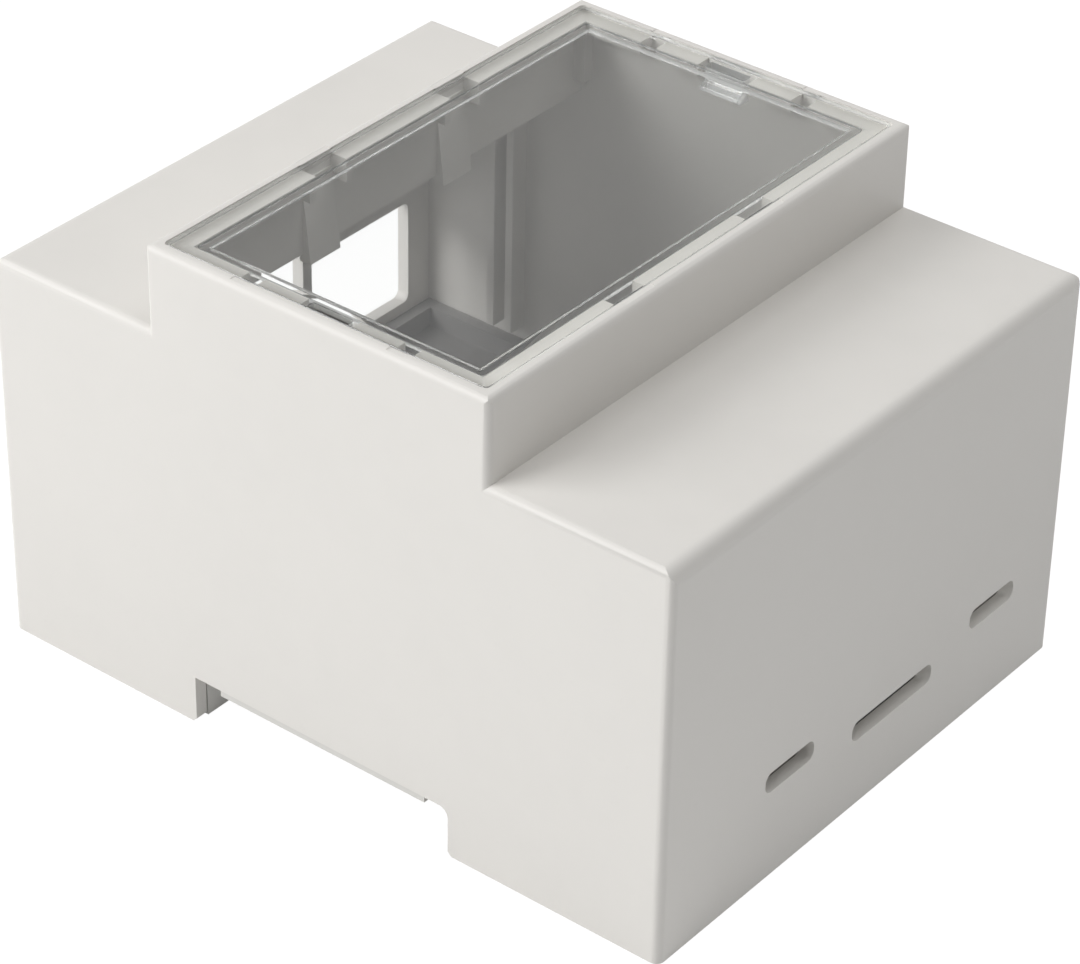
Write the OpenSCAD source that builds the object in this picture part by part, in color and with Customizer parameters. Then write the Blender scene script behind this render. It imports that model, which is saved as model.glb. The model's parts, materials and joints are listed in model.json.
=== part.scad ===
// Stepped enclosure for a 35 mm mounting rail, four modules wide along the rail.
// Frame: X runs across the rail, Y along the rail, Z up from the feet, origin under the middle.

/* [Case] */
// Width across the rail, from end face to end face
case_w = 90; // [88:1:110]
// Length along the rail
case_l = 71; // [68:0.5:106]
// Height of the raised front
case_h = 58; // [55:0.5:66]
// Height of the two low shoulders
shoulder_h = 48; // [44:0.5:49]
// Width of the raised front
front_w = 45; // [42:0.5:50]
// Wall thickness of the housing
wall = 1.6; // [1.4:0.1:2]
// Radius along the outer edges of the shoulders
shoulder_r = 2; // [1:0.25:3]
// Radius along the long edges of the raised front
front_r = 1; // [0.4:0.1:1.2]
// Radius along the end edges and the upright corners
edge_r = 1; // [0.4:0.1:1.2]

/* [Front window] */
// Width of the flat rim left around the cover
rim = 1.4; // [1.2:0.1:1.6]
// Thickness of the clear cover
cover_t = 1.5; // [1.2:0.1:2]
// Height of the raised panel under the cover
plug_t = 0.6; // [0.4:0.1:1]
// Gap around the cover in its recess
cover_gap = 0.15; // [0.1:0.05:0.25]
// Width of the ledge that carries the cover
ledge_w = 2.2; // [1.8:0.1:2.6]
// Thickness of that ledge
ledge_t = 1.5; // [1.2:0.1:2]
// Distance of the long-side pry notches from the middle
pry_y = 10.9; // [9:0.1:16]
// Length of a long-side pry notch
pry_l = 4.8; // [3:0.1:6]
// Distance of the short-side pry notches from the middle
nick_x = 10.2; // [8:0.1:14]
// Length of a short-side pry notch
nick_l = 2.2; // [1.5:0.1:3]
// Depth of the notches into the rim
pry_cut = 0.7; // [0.4:0.1:0.8]
// Width of a latch tongue on the cover
tongue_w = 5.2; // [4:0.1:7]
// Length of a latch tongue below the cover
tongue_l = 3; // [2:0.1:4]
// Gap on each side of a latch tongue
tongue_gap = 0.8; // [0.5:0.1:1.2]

/* [Rail] */
// Width of the mounting rail
rail_w = 35; // [34.8:0.1:35.4]
// Thickness of the rail's flange
rail_t = 1; // [0.8:0.1:1.3]
// Height of the rail seat above the feet
seat_z = 5; // [4.6:0.1:6]
// Gap between the rail and the recess it sits in, each side
rail_gap = 0.1; // [0.1:0.05:0.3]
// Height of the rail pads
pad_h = 1; // [0.6:0.1:1.4]
// Length of the recess left beside each pad
notch_l = 3.4; // [2:0.1:4.5]
// Bite of the hooks and clips under the rail's flange
bite = 1.9; // [1:0.1:2.4]

/* [Base] */
// Wall and floor thickness of the base tray
base_t = 1.6; // [1.2:0.1:1.8]
// Height of the tray's rim above its floor
tray_rim = 2.6; // [2:0.1:2.8]
// Gap between the tray and the housing
fit = 0.2; // [0.1:0.05:0.3]
// Distance of the hooks and clips from the middle
clip_y = 20; // [15:0.5:22]
// Width of a rail clip
clip_w = 12; // [8:0.5:14]
// Thickness of a rail clip
clip_t = 2.2; // [1.6:0.1:2.6]
// Width of each shoulder that stops a rail clip on the channel wall
clip_step = 1.5; // [1:0.1:2.5]
// Travel of a rail clip
clip_travel = 2.6; // [2.4:0.1:3.2]
// Gap around a rail clip in its guides
slide_gap = 0.3; // [0.2:0.05:0.4]

/* [Circuit board] */
// Length of the circuit board
board_l = 85; // [80:0.5:85]
// Distance of the board's middle towards +Y
board_y = 4.4; // [3:0.1:5.5]
// Gap between the tray floor and the board
board_gap = 3.1; // [2.6:0.1:3.4]
// Hole spacing along the board
hole_dx = 58; // [50:0.5:60]
// Hole spacing across the board
hole_dy = 49; // [44:0.5:50]
// Distance of the first holes from the board's end
hole_in = 3.5; // [3.2:0.1:5]
// Diameter of the screw holes in the bosses
hole_d = 2.2; // [1.8:0.1:2.6]
// Diameter of a boss
boss_d = 5.6; // [5:0.1:6.2]

/* [Openings] */
// Width of the network connector window
net_w = 17.2; // [15:0.1:18]
// Height of the network connector window
net_h = 13.6; // [12:0.1:16]
// Width of a double connector window
usb_w = 15.7; // [14:0.1:16.2]
// Height of a double connector window
usb_h = 16.4; // [14:0.1:18]
// Corner radius of the connector windows
window_r = 1; // [0.4:0.1:2]
// Width of the card slot
card_w = 14.5; // [12:0.1:16]
// Width of the two catch windows beside it
catch_w = 8.4; // [6:0.1:9]
// Distance of the catch windows from the card slot
catch_dy = 18.45; // [17:0.05:20]
// Height of the slots
slot_h = 2.5; // [2.2:0.1:3]
// Corner radius of the slots
slot_r = 1; // [0.5:0.1:1.1]

/* [Guides] */
// Thickness of a board guide rib
guide_t = 1; // [0.8:0.1:1.2]
// Depth of a board guide rib
guide_d = 2.5; // [1.5:0.1:3]
// Gap between the two ribs of a guide
guide_gap = 1.7; // [1.6:0.1:2.2]
// Distance of the guides from the middle
guide_x = 30.45; // [27:0.05:34]

/* [Hidden] */
$fn = 48;
eps = 0.01;
case_col = [0.86, 0.85, 0.83];
clip_col = [0.80, 0.79, 0.77];
clear_col = [0.80, 0.86, 0.88, 0.35];

half_w = case_w / 2;
half_l = case_l / 2;
in_w = case_w - 2 * wall;
in_l = case_l - 2 * wall;
front_in_w = front_w - 2 * wall;
roof_z = shoulder_h - wall;

// Window recess, ledge and cover
recess_w = front_w - 2 * rim;
recess_l = case_l - 2 * rim;
ledge_z = case_h - cover_t;
open_w = recess_w - 2 * ledge_w;
open_l = recess_l - 2 * ledge_w;
tongue_t = 1.2;
tab_t = 1;
tab_h = 1.3;

// Rail channel
channel_w = rail_w + 2 * rail_gap;
floor_z = seat_z + pad_h;
floor_top = floor_z + base_t;
rim_z = floor_top + tray_rim;
pad_w = channel_w - 2 * notch_l;
hook_top = seat_z - rail_t - slide_gap;
tray_w = in_w - 2 * fit;
tray_l = in_l - 2 * fit;

// Rail clips, seated in grooves of the right foot
clip_z = hook_top - clip_t;
clip_nose = rail_w / 2 - bite;
clip_end = tray_w / 2 - clip_travel - slide_gap;
clip_stop = channel_w / 2 + base_t;
stop_gap = 0.1;
rail_lip = 1.6;
guide_wall = 1.4;

// Circuit board
board_z = floor_top + board_gap;
slot_z = board_z - 0.8;
catch_z = board_z + 1.7;
window_z = board_z + 0.8;
hole_x = board_l / 2 - hole_in;

// [centre offset from the board's middle, width, height] of each connector window
windows = [[17.1, net_w, net_h], [-0.85, usb_w, usb_h], [-18.85, usb_w, usb_h]];

// Outline w by h, centred, with all corners rounded
module round_rect(w, h, r) {
    square([w - 2 * r, h], center = true);
    square([w, h - 2 * r], center = true);
    for (x = [-1, 1], y = [-1, 1])
        translate([x * (w / 2 - r), y * (h / 2 - r)]) circle(r);
}

// Outline standing on the X axis with its two top corners rounded
module arch(w, h, r) {
    translate([-w / 2, 0]) square([w, h - r]);
    translate([-w / 2 + r, 0]) square([w - 2 * r, h]);
    for (x = [-1, 1])
        translate([x * (w / 2 - r), h - r]) circle(r);
}

// Draws a profile given in X and Z as a bar along Y, centred
module along_y(l) {
    rotate([90, 0, 0]) linear_extrude(l, center = true) children();
}

// Draws a profile given in Y and Z as a bar along X, centred
module along_x(l) {
    rotate([90, 0, 90]) linear_extrude(l, center = true) children();
}

// Block with rounded top edges and rounded upright corners
module soft_block(w, l, h, side_r) {
    intersection() {
        along_y(l) arch(w, h, side_r);
        along_x(w) arch(l, h, edge_r);
        linear_extrude(h) round_rect(w, l, edge_r);
    }
}

// Box centred in X and Y between two heights
module slab(w, l, z0, z1) {
    translate([-w / 2, -l / 2, z0]) cube([w, l, z1 - z0]);
}

// ---------- Housing ----------

// Stepped outer form
module housing_form() {
    soft_block(case_w, case_l, shoulder_h, shoulder_r);
    soft_block(front_w, case_l, case_h, front_r);
}

// Everything inside the walls, and the recess for the cover
module housing_hollow() {
    slab(in_w, in_l, -1, roof_z);
    slab(front_in_w, in_l, roof_z - eps, ledge_z - ledge_t);
    slab(open_w, open_l, roof_z, case_h + 1);
    translate([0, 0, ledge_z]) linear_extrude(cover_t + 1) round_rect(recess_w, recess_l, 0.6);
}

// Profile of the gap in the side walls that the rail passes through
module rail_gap_profile() {
    r = 1.2;
    toe = 0.5;
    w = channel_w / 2;
    translate([-w, -1]) square([2 * w, floor_z + 1 - r]);
    translate([-w, -1]) square([2 * w - r, floor_z + 1]);
    translate([w - r, floor_z - r]) circle(r);
    for (s = [-1, 1])
        polygon([[s * (w - eps), -1], [s * (w + toe + 1), -1], [s * (w - eps), toe]]);
}

// Notches around the window where a blade lifts the cover, and the gaps for its tongues
module window_notches() {
    cut_z = ledge_z - ledge_t - eps;
    cut_h = case_h - cut_z + 1;
    for (s = [-1, 1], y = [-pry_y, pry_y])
        translate([s * (open_w + recess_w + 2 * pry_cut) / 4, y, cut_z + cut_h / 2])
            cube([(recess_w - open_w) / 2 + pry_cut + eps, pry_l, cut_h], center = true);
    for (s = [-1, 1], x = [-nick_x, nick_x])
        translate([x, s * (open_l + recess_l + 2 * pry_cut) / 4, cut_z + cut_h / 2])
            cube([nick_l, (recess_l - open_l) / 2 + pry_cut + eps, cut_h], center = true);
    for (s = [-1, 1])
        translate([0, s * (open_l + in_l) / 4, cut_z + cut_h / 2])
            cube([tongue_w + 2 * tongue_gap, (in_l - open_l) / 2 + eps, cut_h], center = true);
}

// Short tabs under the ledge on each side of a pry notch
module ledge_tabs() {
    for (s = [-1, 1], y = [-pry_y, pry_y], e = [-1, 1])
        translate([
            s * (open_w + front_in_w) / 4,
            y + e * (pry_l + tab_t) / 2,
            ledge_z - ledge_t - tab_h / 2
        ])
            cube([(front_in_w - open_w) / 2 + eps, tab_t, tab_h + eps], center = true);
}

// Tapered pads on the inner faces of the raised front, below the pry notches
module notch_pads() {
    top = ledge_z - ledge_t - 1;
    low = roof_z - 1;
    x = front_in_w / 2;
    for (m = [0, 1], y = [-pry_y, pry_y])
        mirror([m, 0, 0]) translate([0, y, 0]) along_y(pry_l)
            polygon([[x + 0.5, top], [x - 0.1, top], [x - 1, low], [x + 0.5, low]]);
}

// Slim posts in the upper corners of the raised front
module corner_posts() {
    d = 1.5;
    for (x = [-1, 1], y = [-1, 1])
        translate([x * (front_in_w - d) / 2, y * (in_l - d) / 2, (roof_z + ledge_z) / 2 + 1])
            cube([d + eps, d + eps, ledge_z - roof_z - 2], center = true);
}

// Pairs of ribs that hold upright circuit boards between the side walls
module board_guides() {
    z0 = rim_z + 1.8;
    for (x = [-1, 1], e = [-1, 1], y = [-1, 1])
        translate([
            x * guide_x + e * (guide_gap + guide_t) / 2,
            y * (in_l - guide_d) / 2,
            (z0 + roof_z) / 2
        ])
            cube([guide_t, guide_d + eps, roof_z - z0 + eps], center = true);
}

// Connector windows in the left end face
module connector_windows() {
    for (w = windows)
        translate([-half_w + wall / 2, board_y + w[0], window_z + w[2] / 2])
            along_x(3 * wall) round_rect(w[1], w[2], window_r);
}

// Card slot and catch windows in the right end face
module end_slots() {
    translate([half_w - wall / 2, board_y, slot_z])
        along_x(3 * wall) round_rect(card_w, slot_h, slot_r);
    for (s = [-1, 1])
        translate([half_w - wall / 2, board_y + s * catch_dy, catch_z])
            along_x(3 * wall) round_rect(catch_w, slot_h, slot_r);
}

module housing() {
    color(case_col)
    difference() {
        union() {
            difference() {
                housing_form();
                housing_hollow();
            }
            board_guides();
            notch_pads();
            ledge_tabs();
            corner_posts();
        }
        window_notches();
        connector_windows();
        end_slots();
        along_y(case_l + 2) rail_gap_profile();
    }
}

// ---------- Base tray ----------

// Floor, rim and the walls of the two feet
module tray_form() {
    slab(tray_w, tray_l, floor_z, floor_top);
    difference() {
        slab(tray_w, tray_l, 0, rim_z);
        slab(tray_w - 2 * base_t, tray_l - 2 * base_t, -1, rim_z + 1);
        slab(channel_w, tray_l + 2, -1, floor_z);
    }
    for (s = [-1, 1])
        translate([s * (channel_w + base_t) / 2, 0, floor_top / 2])
            cube([base_t, tray_l, floor_top], center = true);
}

// Pads that the rail's flanges bear on, reaching out under the side walls
module rail_pads() {
    l = case_l - 0.6;
    bar = 2.4;
    difference() {
        slab(pad_w, l, seat_z, floor_z + eps);
        for (s = [-1, 1])
            translate([0, s * (l - 2 * bar + 2) / 4, seat_z])
                cube([pad_w - 2 * bar, (l - 2 * bar - 2) / 2 - 1, 2 * (pad_h - eps)], center = true);
    }
}

// Fixed hooks that reach under the rail's left flange
module rail_hooks() {
    x = -channel_w / 2;
    low = hook_top - clip_t;
    for (y = [-clip_y, clip_y])
        translate([0, y, 0]) along_y(clip_w)
            polygon([
                [x - base_t / 2, low],
                [x + bite - 0.8, low],
                [x + bite + rail_gap, low + 0.8],
                [x + bite + rail_gap, hook_top],
                [x - base_t / 2, hook_top]
            ]);
}

// Grooved guides on both sides of each rail clip
module clip_guides() {
    x0 = clip_stop - eps;
    x1 = tray_w / 2 - base_t / 2;
    w = clip_w + 2 * slide_gap;
    for (y = [-clip_y, clip_y])
        difference() {
            translate([x0, y - w / 2 - guide_wall, 0])
                cube([x1 - x0, w + 2 * guide_wall, floor_z + eps]);
            translate([x0 - 1, y - w / 2 + rail_lip, -1])
                cube([x1 - x0 + 2, w - 2 * rail_lip, floor_z + 1]);
            translate([x0 - 1, y - w / 2, clip_z - slide_gap])
                cube([x1 - x0 + 2, w, clip_t + 2 * slide_gap]);
        }
}

// Ports for the clips: a narrow one for the nose, and one in the outer wall to slide the clip in
module clip_ports() {
    w = clip_w + 2 * slide_gap;
    h = clip_t + 2 * slide_gap;
    z = clip_z - slide_gap;
    for (y = [-clip_y, clip_y]) {
        translate([channel_w / 2 - 1, y - w / 2 + clip_step, z]) cube([base_t + 2, w - 2 * clip_step, h]);
        translate([tray_w / 2 - base_t - 1, y - w / 2, z]) cube([base_t + 2, w, h]);
    }
}

// Stiffening rib across the left foot
module foot_rib() {
    x0 = tray_w / 2 - base_t / 2;
    x1 = channel_w / 2 + base_t / 2;
    translate([-x0, -base_t / 2, 0]) cube([x0 - x1, base_t, floor_z + eps]);
}

// Bosses that carry the circuit board
module board_bosses() {
    for (x = [hole_x, hole_x - hole_dx], y = [-1, 1])
        translate([x, board_y + y * hole_dy / 2, floor_z])
            cylinder(d = boss_d, h = board_z - floor_z);
}

module boss_holes() {
    for (x = [hole_x, hole_x - hole_dx], y = [-1, 1])
        translate([x, board_y + y * hole_dy / 2, floor_z + 0.8])
            cylinder(d = hole_d, h = board_z - floor_z);
}

// Springy tongues whose noses click into the catch windows
module snap_lugs() {
    x = tray_w / 2;
    sill = catch_z - slot_h / 2 + 0.1;
    tip = half_w - 0.5;
    for (s = [-1, 1])
        translate([0, board_y + s * catch_dy, 0]) along_y(catch_w - 2 * slot_r)
            polygon([
                [x - 1.2, floor_top],
                [x, floor_top],
                [x, sill],
                [tip, sill],
                [tip, sill + 0.3],
                [x, sill + 1.4],
                [x - 1.2, sill + 1.4]
            ]);
}

module base() {
    color(case_col)
    difference() {
        union() {
            tray_form();
            rail_pads();
            rail_hooks();
            clip_guides();
            foot_rib();
            board_bosses();
            snap_lugs();
        }
        clip_ports();
        boss_holes();
        // relief behind the card slot
        translate([half_w - 4, board_y - card_w / 2 - 0.5, slot_z - slot_h / 2])
            cube([5, card_w + 1, 10]);
    }
}

// ---------- Clear cover ----------

// Profile of a latch tongue in Y and Z, its nose facing the middle
module tongue_profile() {
    y = open_l / 2 + 0.3;
    low = ledge_z - tongue_l;
    polygon([
        [y, ledge_z + eps],
        [y, low + 1.5],
        [y - 0.9, low + 0.9],
        [y - 0.9, low + 0.4],
        [y - 0.3, low],
        [y + tongue_t, low],
        [y + tongue_t, ledge_z + eps]
    ]);
}

module front_cover() {
    w = recess_w - 2 * cover_gap;
    l = recess_l - 2 * cover_gap;
    pw = open_w - 0.4;
    pl = open_l - 0.4;
    color(clear_col) {
        translate([0, 0, ledge_z]) linear_extrude(cover_t) round_rect(w, l, 0.5);
        translate([0, 0, ledge_z - plug_t]) linear_extrude(plug_t + eps) round_rect(pw, pl, 0.5);
        for (m = [0, 1])
            mirror([0, m, 0]) along_x(tongue_w) tongue_profile();
    }
}

// ---------- Rail clips ----------

// Sliding clip with a chamfered nose, two stop shoulders and a window for a blade
module rail_clip(y) {
    pull_l = 4;
    pull_w = clip_w - 5;
    color(clip_col)
    difference() {
        translate([0, y, 0]) along_y(clip_w)
            polygon([
                [clip_nose + 1.1, clip_z],
                [clip_end, clip_z],
                [clip_end, clip_z + clip_t],
                [clip_nose, clip_z + clip_t],
                [clip_nose, clip_z + clip_t - 0.8]
            ]);
        for (s = [-1, 1])
            translate([clip_stop + stop_gap - 10, y + s * (clip_w / 2 - clip_step + 5) - 5, clip_z - 1])
                cube([10, 10, clip_t + 2]);
        translate([clip_end - 2 - pull_l, y - pull_w / 2, clip_z - 1])
            cube([pull_l, pull_w, clip_t + 2]);
    }
}

module rail_clip_1() {
    rail_clip(-clip_y);
}

module rail_clip_2() {
    rail_clip(clip_y);
}

housing();
base();
front_cover();
rail_clip_1();
rail_clip_2();
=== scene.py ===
"""Dresses and stages a stepped enclosure for a 35 mm mounting rail."""

import json
import math

import bmesh
import bpy
from mathutils import Matrix, Vector

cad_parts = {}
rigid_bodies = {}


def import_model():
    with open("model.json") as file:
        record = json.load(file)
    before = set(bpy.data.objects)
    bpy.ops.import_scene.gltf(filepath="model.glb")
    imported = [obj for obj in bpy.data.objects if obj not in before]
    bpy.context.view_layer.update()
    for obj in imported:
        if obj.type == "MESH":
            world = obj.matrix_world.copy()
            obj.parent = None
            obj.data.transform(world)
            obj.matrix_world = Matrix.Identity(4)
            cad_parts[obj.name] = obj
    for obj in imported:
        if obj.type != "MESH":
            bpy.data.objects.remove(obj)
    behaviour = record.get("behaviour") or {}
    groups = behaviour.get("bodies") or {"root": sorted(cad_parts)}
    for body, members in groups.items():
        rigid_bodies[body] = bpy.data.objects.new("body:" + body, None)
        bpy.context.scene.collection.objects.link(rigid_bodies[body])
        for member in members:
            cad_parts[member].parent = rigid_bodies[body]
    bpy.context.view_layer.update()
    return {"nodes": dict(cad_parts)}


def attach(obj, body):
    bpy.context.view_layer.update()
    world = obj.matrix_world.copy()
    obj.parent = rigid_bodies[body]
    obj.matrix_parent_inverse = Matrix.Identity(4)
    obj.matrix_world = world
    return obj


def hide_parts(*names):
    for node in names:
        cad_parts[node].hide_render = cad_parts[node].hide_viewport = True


bl_info = {
    "name": "Rail Enclosure",
    "version": (1, 0, 0),
    "blender": (4, 5, 0),
    "location": "View3D > Sidebar > Rail Enclosure",
    "description": "Moulded housing with a clear cover, finished and set on a pale stage",
    "category": "Object",
}

MM = 0.001

# Millimetre sizes of the solids that the visible copies refer to
COVER_HALF_X, COVER_HALF_Y = 20.95, 33.95
NOTCH_LOW, NOTCH_HIGH = 54.9, 57.93
SIDE_NOTCHES = {"at": 10.9, "half": 2.65, "inner": 21.1, "outer": 21.85}
END_NOTCHES = {"at": 10.2, "half": 1.35, "inner": 34.1, "outer": 34.85}
LUG_TIPS = [((41, y - 5, 10.3), (46, y + 5, 16)) for y in (-14.05, 22.85)]
COVER_PANEL = ((-17.7, -30.9, 55), (17.7, 30.9, 56.5))
TRAY_FLOOR_LOW, TRAY_FLOOR_HIGH = 6.4, 7.2

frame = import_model()


# ---------------------------------------------------------------- settings


def colour(name, description, default):
    return bpy.props.FloatVectorProperty(
        name=name, description=description, default=default, subtype="COLOR", size=3, min=0, max=1
    )


def length(name, description, default):
    return bpy.props.FloatProperty(
        name=name, description=description, default=default, unit="LENGTH", min=0, precision=5
    )


def number(name, description, default, low=0.0, high=1.0):
    return bpy.props.FloatProperty(
        name=name, description=description, default=default, min=low, max=high
    )


class CaseSettings(bpy.types.PropertyGroup):
    """Finish of the opaque mouldings."""

    case_colour: colour("Case colour", "Light grey of the housing", (0.79, 0.77, 0.735))
    base_colour: colour("Base colour", "Grey of the tray that closes the underside", (0.70, 0.69, 0.66))
    # Painted shade: the darker grey of the tray's inside stands in for the shade under the cover.
    tray_painted_shade: colour("Tray colour", "Darker grey inside the tray", (0.24, 0.235, 0.23))
    clip_colour: colour("Clip colour", "Grey of the sliding rail clips", (0.62, 0.61, 0.585))
    edge_radius: length("Edge radius", "Softness of the moulded edges", 0.18 * MM)
    grain_size: length("Grain size", "Size of the fine moulded grain", 0.22 * MM)
    grain_depth: length("Grain depth", "Height of the fine moulded grain", 0.006 * MM)
    gloss: number("Roughness", "Mean roughness of the moulded faces", 0.46)


class CoverSettings(bpy.types.PropertyGroup):
    """Finish of the clear cover."""

    tint: colour("Tint", "Colour that the clear plastic gives to light", (0.985, 0.99, 0.985))
    ior: number("Refraction", "Index of refraction of the clear plastic", 1.58, 1.0, 2.0)
    edge_radius: length("Edge radius", "Softness of the cover's edges", 0.12 * MM)
    passes: number("Light let in", "Share of the light that each face lets in", 0.70)
    clear_zone: length("Clear border", "Width of the border that lets all light down to the ledge", 3.2 * MM)
    frost: number("Edge frost", "How milky the moulded edge faces are", 0.5)


class StageSettings(bpy.types.PropertyGroup):
    """Camera, floor and light."""

    distance: length("Distance", "Distance of the camera from its aim", 0.44059)
    azimuth: bpy.props.FloatProperty(
        name="Azimuth", description="Angle of the view round the object",
        default=math.radians(38.353), subtype="ANGLE",
    )
    elevation: bpy.props.FloatProperty(
        name="Elevation", description="Angle of the view above the floor",
        default=math.radians(33.861), subtype="ANGLE",
    )
    roll: bpy.props.FloatProperty(
        name="Roll", description="Tilt of the camera about its own axis", default=0.0168, subtype="ANGLE"
    )
    lens: number("Lens", "Focal length in millimetres", 136.7, 10, 300)
    shift_x: number("Shift X", "Sideways shift of the frame", 0.005, -1, 1)
    shift_y: number("Shift Y", "Upward shift of the frame", -0.0118, -1, 1)
    aim: bpy.props.FloatVectorProperty(
        name="Aim", description="Point that the camera looks at",
        default=(1.74 * MM, -2.03 * MM, 24.01 * MM), subtype="XYZ", unit="LENGTH", precision=5,
    )
    floor_size: length("Floor size", "Width of the floor", 6.0)
    key_power: number("Key light", "Power of the large front light", 5.7, 0, 100)
    side_power: number("Side light", "Power of the light on the slotted end", 0.1, 0, 100)
    top_power: number("Top light", "Power of the light overhead", 4.3, 0, 100)
    sky: number("Sky", "Strength of the even light all round", 0.26, 0, 2)


SETTINGS = {"case": CaseSettings, "cover": CoverSettings, "stage": StageSettings}


def settings(group):
    return getattr(bpy.context.scene, "rail_enclosure_" + group)


# ---------------------------------------------------------------- shader maths


class Value:
    """A number socket that takes part in Python arithmetic."""

    def __init__(self, shader, socket):
        self.shader = shader
        self.socket = socket

    def _math(self, operation, *terms):
        made = self.shader.node(
            "ShaderNodeMath", {"operation": operation}, dict(enumerate(terms))
        )
        return Value(self.shader, made.outputs[0])

    def __add__(self, other):
        return self._math("ADD", self, other)

    def __radd__(self, other):
        return self._math("ADD", other, self)

    def __sub__(self, other):
        return self._math("SUBTRACT", self, other)

    def __rsub__(self, other):
        return self._math("SUBTRACT", other, self)

    def __mul__(self, other):
        return self._math("MULTIPLY", self, other)

    def at_least(self, other):
        return self._math("MAXIMUM", self, other)

    def between(self, low, high):
        """0 below low, 1 above high, smooth in between."""
        made = self.shader.node(
            "ShaderNodeMapRange",
            {"interpolation_type": "SMOOTHSTEP"},
            {"Value": self, "From Min": low, "From Max": high},
        )
        return Value(self.shader, made.outputs[0])


class Shader:
    """A material's node tree, built one node at a time."""

    def __init__(self, name):
        self.material = bpy.data.materials.new(name)
        self.material.use_nodes = True
        self.tree = self.material.node_tree
        self.tree.nodes.clear()
        self.output = self.tree.nodes.new("ShaderNodeOutputMaterial")

    def node(self, kind, options=None, inputs=None):
        made = self.tree.nodes.new(kind)
        for key, value in (options or {}).items():
            setattr(made, key, value)
        for key, value in (inputs or {}).items():
            self.feed(made.inputs[key], value)
        return made

    def feed(self, socket, value):
        if isinstance(value, Value):
            value = value.socket
        if isinstance(value, bpy.types.NodeSocket):
            self.tree.links.new(value, socket)
        else:
            socket.default_value = value

    def place(self):
        """Object coordinates, in metres."""
        return self.node("ShaderNodeTexCoord").outputs["Object"]

    def parts(self, vector):
        """X, Y and Z of a vector socket."""
        split = self.node("ShaderNodeSeparateXYZ", None, {"Vector": vector})
        return [Value(self, output) for output in split.outputs]

    def mix(self, amount, first, second):
        """Surface from first to second by amount."""
        made = self.node("ShaderNodeMixShader")
        for socket, value in zip(made.inputs, (amount, first.outputs[0], second.outputs[0])):
            self.feed(socket, value)
        return made

    def noise(self, place, size, detail=2.0, rough=0.5):
        """Soft cloudy pattern with features of about that size in metres."""
        made = self.node(
            "ShaderNodeTexNoise",
            {"noise_dimensions": "3D"},
            {"Vector": place, "Scale": 1.0 / size, "Detail": detail, "Roughness": rough},
        )
        return Value(self, made.outputs["Fac"])

    def blend(self, amount, first, second):
        """Colour from first to second by amount."""
        made = self.node("ShaderNodeMix", {"data_type": "RGBA"})
        self.feed(made.inputs[0], amount)
        self.feed(made.inputs[6], first)
        self.feed(made.inputs[7], second)
        return made.outputs[2]

    def finish(self, surface):
        self.feed(self.output.inputs["Surface"], surface)
        return self.material


def rgba(values, scale=1.0):
    return tuple(min(1.0, v * scale) for v in values[:3]) + (1.0,)


def moulded_plastic(name, base, gloss, grain_size, grain_depth, inside=None):
    """Fine-grained opaque plastic; above the tray's floor a second, darker colour takes over as painted
    shade for the inside of the tray.
    """
    s = Shader(name)
    place = s.place()
    cloud = s.noise(place, 0.018, 3.0).between(0.3, 0.7)
    flow = s.noise(place, 0.0045, 2.0).between(0.35, 0.65)
    grain = s.noise(place, grain_size, 2.0, 0.6)
    speck = s.noise(place, 0.0009, 1.0).between(0.68, 0.8)
    tone = s.blend(cloud, rgba(base, 0.985), rgba(base, 1.0))
    tone = s.blend(flow * 0.25, tone, rgba(base, 1.012))
    tone = s.blend(speck * 0.05, tone, rgba(base, 0.8))
    if inside:
        # Painted shade: faces above the tray's floor are painted a darker grey for the shade inside the
        # closed case.
        height = s.parts(place)[2]
        painted_shade_mask = height.between(TRAY_FLOOR_LOW * MM, TRAY_FLOOR_HIGH * MM)
        tone = s.blend(painted_shade_mask, tone, rgba(inside))
    rough = gloss + (cloud - 0.5) * 0.05 + (flow - 0.5) * 0.03 + (grain - 0.5) * 0.08
    relief = grain * 0.8 + flow * 0.2
    bump = s.node(
        "ShaderNodeBump",
        None,
        {"Strength": 0.6, "Distance": grain_depth, "Height": relief},
    )
    plastic = s.node(
        "ShaderNodeBsdfPrincipled",
        None,
        {"Base Color": tone, "Roughness": rough, "IOR": 1.52, "Normal": bump.outputs[0]},
    )
    return s.finish(plastic.outputs[0])


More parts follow.
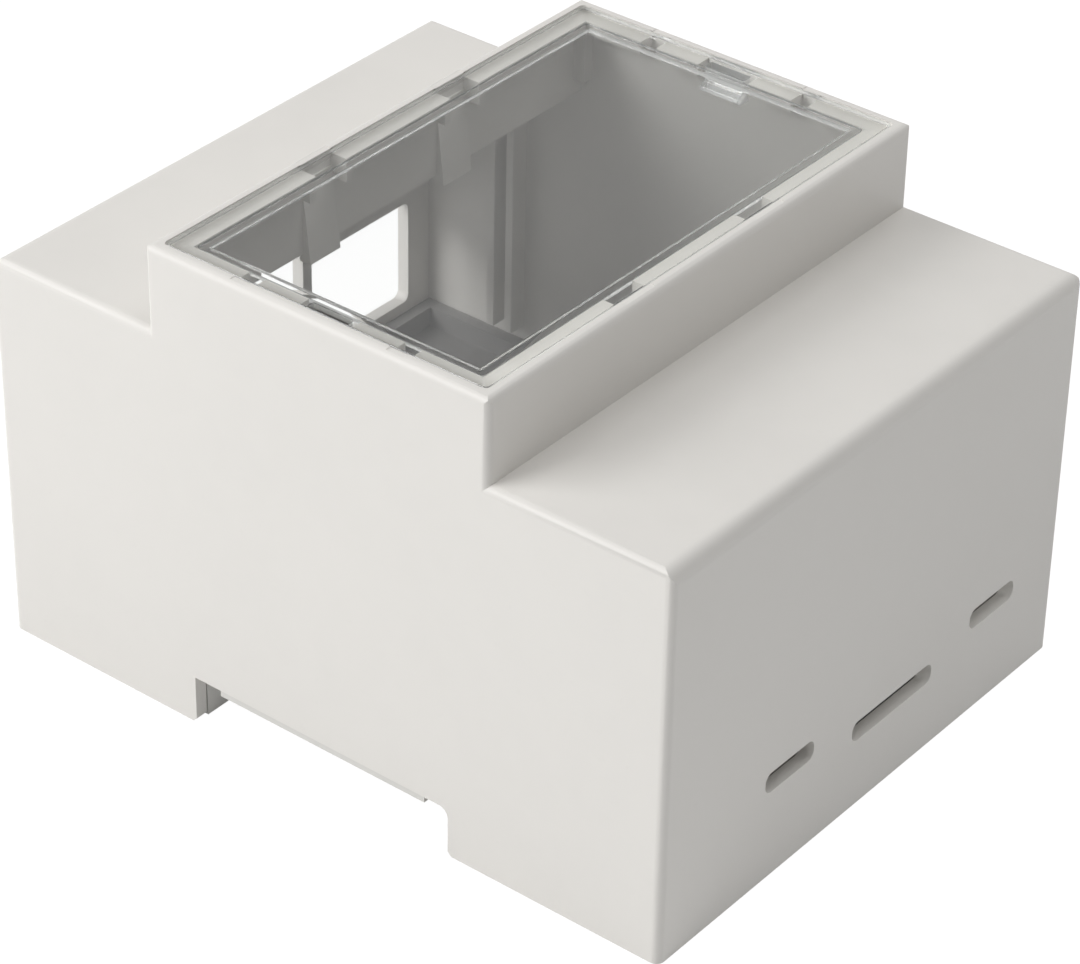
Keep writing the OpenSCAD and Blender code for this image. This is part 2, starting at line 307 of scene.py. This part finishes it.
def clear_plastic(name, tint, ior, passes, frost, border):
    """Polished clear plastic with milky edges, that lets light through to the inside."""
    s = Shader(name)
    place = s.place()
    facing = s.node("ShaderNodeNewGeometry").outputs["Normal"]
    upright = s.parts(facing)[2]
    edge = 1.0 - (upright * upright).between(0.1, 0.6)
    haze = s.noise(place, 0.012, 3.0).between(0.45, 0.75)
    stretched = s.node(
        "ShaderNodeMapping", {"vector_type": "TEXTURE"}, {"Vector": place, "Scale": (1.0, 24.0, 1.0)}
    )
    hairs = s.noise(stretched.outputs[0], 0.0002, 1.0).between(0.7, 0.76)
    rough = 0.012 + haze * 0.015 + hairs * 0.03
    body = s.node(
        "ShaderNodeBsdfPrincipled",
        None,
        {"Base Color": rgba(tint), "Roughness": rough, "IOR": ior, "Transmission Weight": 1.0},
    )
    milky = s.node(
        "ShaderNodeBsdfPrincipled",
        None,
        {"Base Color": rgba(tint, 0.95), "Roughness": 0.25, "IOR": ior},
    )
    solid = s.mix(edge * frost, body, milky)
    across, along, _ = s.parts(place)
    off_x = across * (1 / (COVER_HALF_X * MM - border))
    off_y = along * (1 / (COVER_HALF_Y * MM - border))
    ledge = (off_x * off_x).at_least(off_y * off_y).between(0.97, 1.03)
    middle = s.node("ShaderNodeBsdfTransparent", None, {"Color": rgba(tint, passes)})
    bordering = s.node("ShaderNodeBsdfTransparent", None, {"Color": rgba(tint)})
    through = s.mix(ledge, middle, bordering)
    path = s.node("ShaderNodeLightPath")
    shadow = Value(s, path.outputs["Is Shadow Ray"])
    diffuse = Value(s, path.outputs["Is Diffuse Ray"])
    return s.finish(s.mix(shadow.at_least(diffuse), solid, through).outputs[0])


# ---------------------------------------------------------------- mesh helpers


def select_only(*objects):
    for other in bpy.context.view_layer.objects:
        other.select_set(False)
    for chosen in objects:
        chosen.select_set(True)
    bpy.context.view_layer.objects.active = objects[0]


def cut_box(piece, low, high):
    """Takes a box, given by two corners in millimetres, out of a piece."""
    middle = [(a + b) / 2 * MM for a, b in zip(low, high)]
    size = [(b - a) * MM for a, b in zip(low, high)]
    bpy.ops.mesh.primitive_cube_add(size=1, location=middle, scale=size)
    cutter = bpy.context.object
    select_only(piece)
    cut = piece.modifiers.new("Cut", "BOOLEAN")
    cut.operation = "DIFFERENCE"
    cut.solver = "EXACT"
    cut.object = cutter
    bpy.ops.object.modifier_apply(modifier=cut.name)
    bpy.data.objects.remove(cutter, do_unlink=True)


def add_box(piece, low, high):
    """Adds a box, given by two corners in millimetres, to the mesh of a piece."""
    middle = Vector([(a + b) / 2 * MM for a, b in zip(low, high)])
    size = [(b - a) * MM for a, b in zip(low, high)]
    work = bmesh.new()
    work.from_mesh(piece.data)
    spot = Matrix.Translation(middle) @ Matrix.Diagonal((*size, 1))
    bmesh.ops.create_cube(work, size=1, matrix=spot)
    work.to_mesh(piece.data)
    work.free()


def fill_rim(piece):
    """Closes the part of the pry notches that lies in the rim and leaves the ledge open."""
    side, end = SIDE_NOTCHES, END_NOTCHES
    for y in (-side["at"], side["at"]):
        y0, y1 = y - side["half"], y + side["half"]
        add_box(piece, (side["inner"], y0, NOTCH_LOW), (side["outer"], y1, NOTCH_HIGH))
        add_box(piece, (-side["outer"], y0, NOTCH_LOW), (-side["inner"], y1, NOTCH_HIGH))
    for x in (-end["at"], end["at"]):
        x0, x1 = x - end["half"], x + end["half"]
        add_box(piece, (x0, -end["outer"], NOTCH_LOW), (x1, -end["inner"], NOTCH_HIGH))
        add_box(piece, (x0, end["inner"], NOTCH_LOW), (x1, end["outer"], NOTCH_HIGH))


def merged_copy(node, name, cuts=()):
    """A copy of a CAD node, less some boxes, with its triangles merged into clean faces."""
    source = frame["nodes"][node]
    piece = bpy.data.objects.new(name, source.data.copy())
    bpy.context.scene.collection.objects.link(piece)
    piece.matrix_world = source.matrix_world.copy()
    for low, high in cuts:
        cut_box(piece, low, high)
    mesh = piece.data
    work = bmesh.new()
    work.from_mesh(mesh)
    bmesh.ops.remove_doubles(work, verts=work.verts, dist=1e-7)
    bmesh.ops.dissolve_limit(
        work, angle_limit=math.radians(0.3), use_dissolve_boundaries=False,
        verts=work.verts, edges=work.edges,
    )
    work.to_mesh(mesh)
    work.free()
    mesh.materials.clear()
    return piece


def soften_edges(piece, radius, limit=30.0, segments=2):
    """Rounds every sharp edge by a small radius and keeps flat faces flat."""
    select_only(piece)
    bevel = piece.modifiers.new("Soft edges", "BEVEL")
    bevel.width = radius
    bevel.segments = segments
    bevel.limit_method = "ANGLE"
    bevel.angle_limit = math.radians(limit)
    bevel.use_clamp_overlap = True
    bevel.harden_normals = False
    bevel.miter_outer = "MITER_ARC"
    bpy.ops.object.modifier_apply(modifier=bevel.name)
    bpy.ops.object.shade_smooth_by_angle(angle=math.radians(50))
    flat = piece.modifiers.new("Flat faces", "WEIGHTED_NORMAL")
    flat.mode = "FACE_AREA"
    flat.weight = 100
    flat.keep_sharp = True
    bpy.ops.object.modifier_apply(modifier=flat.name)


def dress(piece, node, body, material):
    piece.data.materials.append(material)
    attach(piece, body)
    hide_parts(node)


# ---------------------------------------------------------------- operators


class RAILBOX_OT_housing(bpy.types.Operator):
    """Finish the stepped housing"""

    bl_idname = "railbox.housing"
    bl_label = "Housing"

    def execute(self, context):
        case = settings("case")
        piece = merged_copy("housing", "housing_shell")
        soften_edges(piece, case.edge_radius)
        fill_rim(piece)
        plastic = moulded_plastic(
            "Housing plastic", case.case_colour, case.gloss, case.grain_size, case.grain_depth
        )
        dress(piece, "housing", "enclosure", plastic)
        return {"FINISHED"}


class RAILBOX_OT_base(bpy.types.Operator):
    """Finish the tray that closes the underside"""

    bl_idname = "railbox.base"
    bl_label = "Base"

    def execute(self, context):
        case = settings("case")
        piece = merged_copy("base", "base_tray", LUG_TIPS)
        soften_edges(piece, case.edge_radius * 0.6)
        plastic = moulded_plastic(
            "Base plastic", case.base_colour, case.gloss, case.grain_size, case.grain_depth,
            inside=case.tray_painted_shade,
        )
        dress(piece, "base", "enclosure", plastic)
        return {"FINISHED"}


class RAILBOX_OT_clips(bpy.types.Operator):
    """Finish the two sliding rail clips"""

    bl_idname = "railbox.clips"
    bl_label = "Rail clips"

    def execute(self, context):
        case = settings("case")
        plastic = moulded_plastic(
            "Clip plastic", case.clip_colour, case.gloss * 0.85, case.grain_size, case.grain_depth
        )
        for side in (1, 2):
            piece = merged_copy("rail_clip_%d" % side, "sliding_clip_%d" % side)
            soften_edges(piece, case.edge_radius)
            dress(piece, "rail_clip_%d" % side, "clip_%d" % side, plastic)
        return {"FINISHED"}


class RAILBOX_OT_cover(bpy.types.Operator):
    """Finish the clear front cover"""

    bl_idname = "railbox.cover"
    bl_label = "Clear cover"

    def execute(self, context):
        cover = settings("cover")
        piece = merged_copy("front_cover", "clear_cover", [COVER_PANEL])
        soften_edges(piece, cover.edge_radius, 25.0, 2)
        plastic = clear_plastic(
            "Clear plastic", cover.tint, cover.ior, cover.passes, cover.frost, cover.clear_zone
        )
        dress(piece, "front_cover", "cover", plastic)
        return {"FINISHED"}


class RAILBOX_OT_stage(bpy.types.Operator):
    """Set up the camera, the floor and the light"""

    bl_idname = "railbox.stage"
    bl_label = "Stage"

    def execute(self, context):
        stage = settings("stage")
        self.camera(context, stage)
        self.floor(stage)
        self.lights(stage)
        self.sky(context, stage)
        view = context.scene.view_settings
        view.view_transform = "Standard"
        return {"FINISHED"}

    def camera(self, context, stage):
        back = Vector((
            math.sin(stage.azimuth) * math.cos(stage.elevation),
            -math.cos(stage.azimuth) * math.cos(stage.elevation),
            math.sin(stage.elevation),
        ))
        right = Vector((math.cos(stage.azimuth), math.sin(stage.azimuth), 0))
        up = back.cross(right)
        turned_right = right * math.cos(stage.roll) + up * math.sin(stage.roll)
        turned_up = up * math.cos(stage.roll) - right * math.sin(stage.roll)
        data = bpy.data.cameras.new("Camera")
        data.sensor_width = 36.0
        data.lens = stage.lens
        data.shift_x = stage.shift_x
        data.shift_y = stage.shift_y
        data.clip_start = 0.01
        data.clip_end = 50.0
        camera = bpy.data.objects.new("Camera", data)
        context.scene.collection.objects.link(camera)
        axes = Matrix((turned_right, turned_up, back)).transposed().to_4x4()
        camera.matrix_world = Matrix.Translation(Vector(stage.aim) + back * stage.distance) @ axes
        context.scene.camera = camera

    def floor(self, stage):
        bpy.ops.mesh.primitive_plane_add(size=stage.floor_size, location=(0, 0, -0.00005))
        floor = bpy.context.object
        floor.name = "Floor"
        s = Shader("Floor")
        path = s.node("ShaderNodeLightPath")
        seen = Value(s, path.outputs["Is Camera Ray"])
        glossy = Value(s, path.outputs["Is Glossy Ray"])
        through = Value(s, path.outputs["Is Transmission Ray"])
        place = s.place()
        cloud = s.noise(place, 0.4, 2.0)
        tone = s.blend(cloud, (0.84, 0.84, 0.84, 1.0), (0.87, 0.87, 0.87, 1.0))
        matt = s.node("ShaderNodeBsdfDiffuse", None, {"Color": tone})
        glow = s.node("ShaderNodeEmission", None, {"Color": (1, 1, 1, 1), "Strength": 1.1})
        mixed = s.mix(seen.at_least(glossy).at_least(through) * 0.9, matt, glow)
        floor.data.materials.append(s.finish(mixed.outputs[0]))

    def lights(self, stage):
        centre = Vector((0, 0, 0.03))
        softboxes = [
            ("Key light", (-0.45, -0.60, 0.51), (0.6, 0.5), stage.key_power),
            ("Side light", (0.95, 0.1, 0.35), (0.8, 0.8), stage.side_power),
            ("Top light", (0.12, 0.42, 0.93), (0.9, 0.9), stage.top_power),
        ]
        for name, spot, size, power in softboxes:
            data = bpy.data.lights.new(name, "AREA")
            data.shape = "RECTANGLE"
            data.size, data.size_y = size
            data.energy = power
            lamp = bpy.data.objects.new(name, data)
            bpy.context.scene.collection.objects.link(lamp)
            lamp.location = spot
            lamp.rotation_euler = (Vector(spot) - centre).to_track_quat("Z", "Y").to_euler()

    def sky(self, context, stage):
        world = bpy.data.worlds.new("Sky")
        context.scene.world = world
        world.use_nodes = True
        tree = world.node_tree
        tree.nodes.clear()
        path = tree.nodes.new("ShaderNodeLightPath")
        direct = tree.nodes.new("ShaderNodeMath")
        direct.operation = "MAXIMUM"
        tree.links.new(path.outputs["Is Camera Ray"], direct.inputs[0])
        tree.links.new(path.outputs["Is Transmission Ray"], direct.inputs[1])
        even = tree.nodes.new("ShaderNodeBackground")
        even.inputs[1].default_value = stage.sky
        white = tree.nodes.new("ShaderNodeBackground")
        for shade in (even, white):
            shade.inputs[0].default_value = (1, 1, 1, 1)
        white.inputs[1].default_value = 1.1
        mixed = tree.nodes.new("ShaderNodeMixShader")
        output = tree.nodes.new("ShaderNodeOutputWorld")
        tree.links.new(direct.outputs[0], mixed.inputs[0])
        tree.links.new(even.outputs[0], mixed.inputs[1])
        tree.links.new(white.outputs[0], mixed.inputs[2])
        tree.links.new(mixed.outputs[0], output.inputs[0])


PIECES = [RAILBOX_OT_housing, RAILBOX_OT_base, RAILBOX_OT_clips, RAILBOX_OT_cover]


class RAILBOX_PT_panel(bpy.types.Panel):
    """Lists the pieces and their settings"""

    bl_idname = "RAILBOX_PT_panel"
    bl_label = "Rail Enclosure"
    bl_space_type = "VIEW_3D"
    bl_region_type = "UI"
    bl_category = "Rail Enclosure"

    def draw(self, context):
        for operator in PIECES + [RAILBOX_OT_stage]:
            self.layout.operator(operator.bl_idname)
        for group, kind in SETTINGS.items():
            box = self.layout.box()
            for name in kind.__annotations__:
                box.prop(settings(group), name)


CLASSES = [*SETTINGS.values(), *PIECES, RAILBOX_OT_stage, RAILBOX_PT_panel]


def register():
    for kind in CLASSES:
        bpy.utils.register_class(kind)
    for group, kind in SETTINGS.items():
        setattr(bpy.types.Scene, "rail_enclosure_" + group, bpy.props.PointerProperty(type=kind))


def unregister():
    for group in SETTINGS:
        delattr(bpy.types.Scene, "rail_enclosure_" + group)
    for kind in reversed(CLASSES):
        bpy.utils.unregister_class(kind)


def main():
    register()
    bpy.ops.railbox.stage()
    bpy.ops.railbox.housing()
    bpy.ops.railbox.base()
    bpy.ops.railbox.clips()
    bpy.ops.railbox.cover()
    bpy.context.view_layer.update()


if __name__ == "__main__":
    main()
